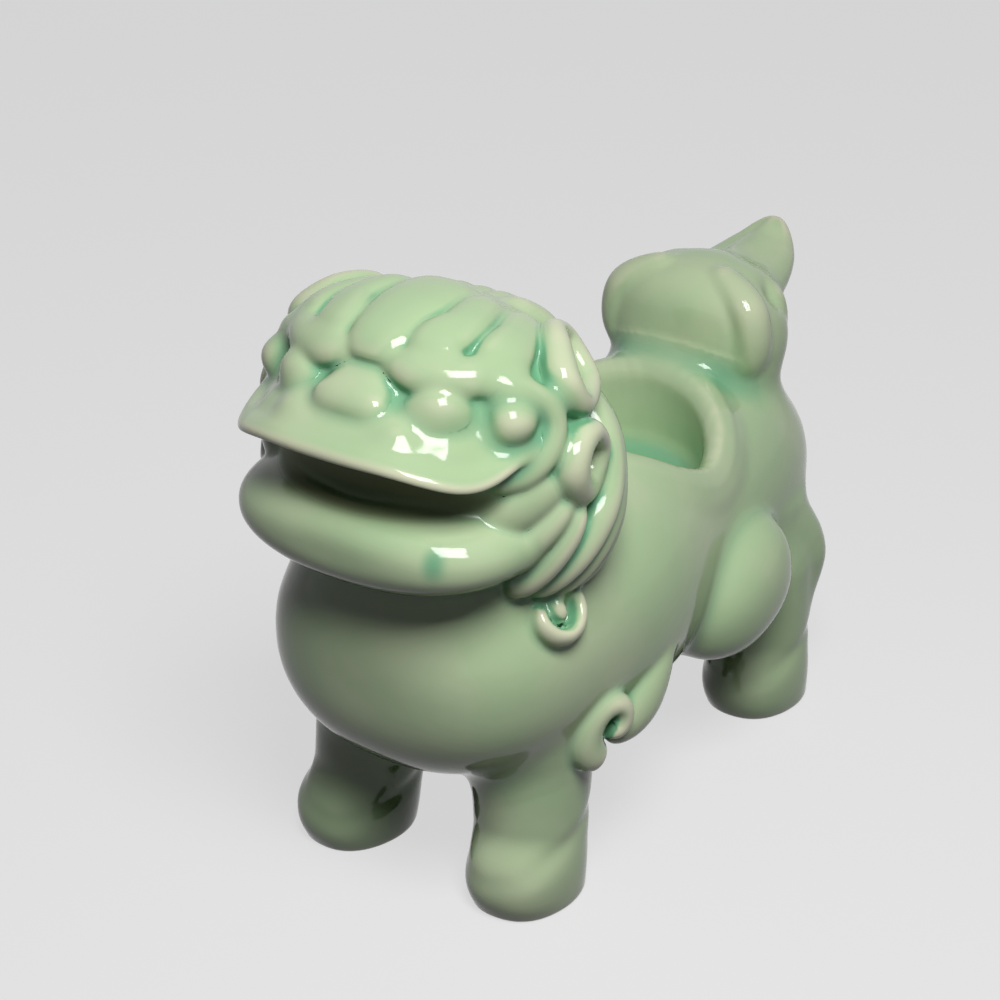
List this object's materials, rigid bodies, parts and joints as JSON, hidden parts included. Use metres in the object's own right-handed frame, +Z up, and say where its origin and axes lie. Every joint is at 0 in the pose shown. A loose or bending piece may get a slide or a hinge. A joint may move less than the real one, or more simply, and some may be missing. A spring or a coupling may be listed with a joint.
{
  "type": "candle holder",
  "caption": "Standing guardian lion in celadon-glazed ceramic with an open mouth, curled mane and flame tail, and a round well sunk into its back that holds a tealight candle.",
  "frame": {"origin": "middle of the figure's bounding box, on the ground under the paws", "axes": "+Z up, -Y the way the lion faces, +X towards the lion's left side"},
  "size_m": [0.076, 0.16, 0.1182],
  "materials": {
    "celadon_glaze": "gloss"
  },
  "bodies": {
    "root": {"trunk": "celadon_glaze", "candle_cup": "celadon_glaze", "head": "celadon_glaze", "upper_jaw": "celadon_glaze", "lower_jaw": "celadon_glaze", "nose": "celadon_glaze", "eye_left": "celadon_glaze", "eye_right": "celadon_glaze", "forelock": "celadon_glaze", "brow_left": "celadon_glaze", "brow_right": "celadon_glaze", "ear_left": "celadon_glaze", "ear_right": "celadon_glaze", "cheek_scroll_left": "celadon_glaze", "cheek_scroll_right": "celadon_glaze", "jowl_left": "celadon_glaze", "jowl_right": "celadon_glaze", "mane_left": "celadon_glaze", "mane_right": "celadon_glaze", "mane_ring_left": "celadon_glaze", "mane_ring_right": "celadon_glaze", "mane_curl_left": "celadon_glaze", "mane_curl_right": "celadon_glaze", "nape_mane": "celadon_glaze", "front_leg_left": "celadon_glaze", "front_leg_right": "celadon_glaze", "hind_leg_left": "celadon_glaze", "hind_leg_right": "celadon_glaze", "shoulder_scroll_left": "celadon_glaze", "shoulder_scroll_right": "celadon_glaze", "shoulder_flame_left": "celadon_glaze", "shoulder_flame_right": "celadon_glaze", "haunch_left": "celadon_glaze", "haunch_right": "celadon_glaze", "hock_tuft_left": "celadon_glaze", "hock_tuft_right": "celadon_glaze", "tail": "celadon_glaze", "tail_flame": "celadon_glaze", "tail_curl_left": "celadon_glaze", "tail_curl_right": "celadon_glaze"}
  },
  "joints": []
}
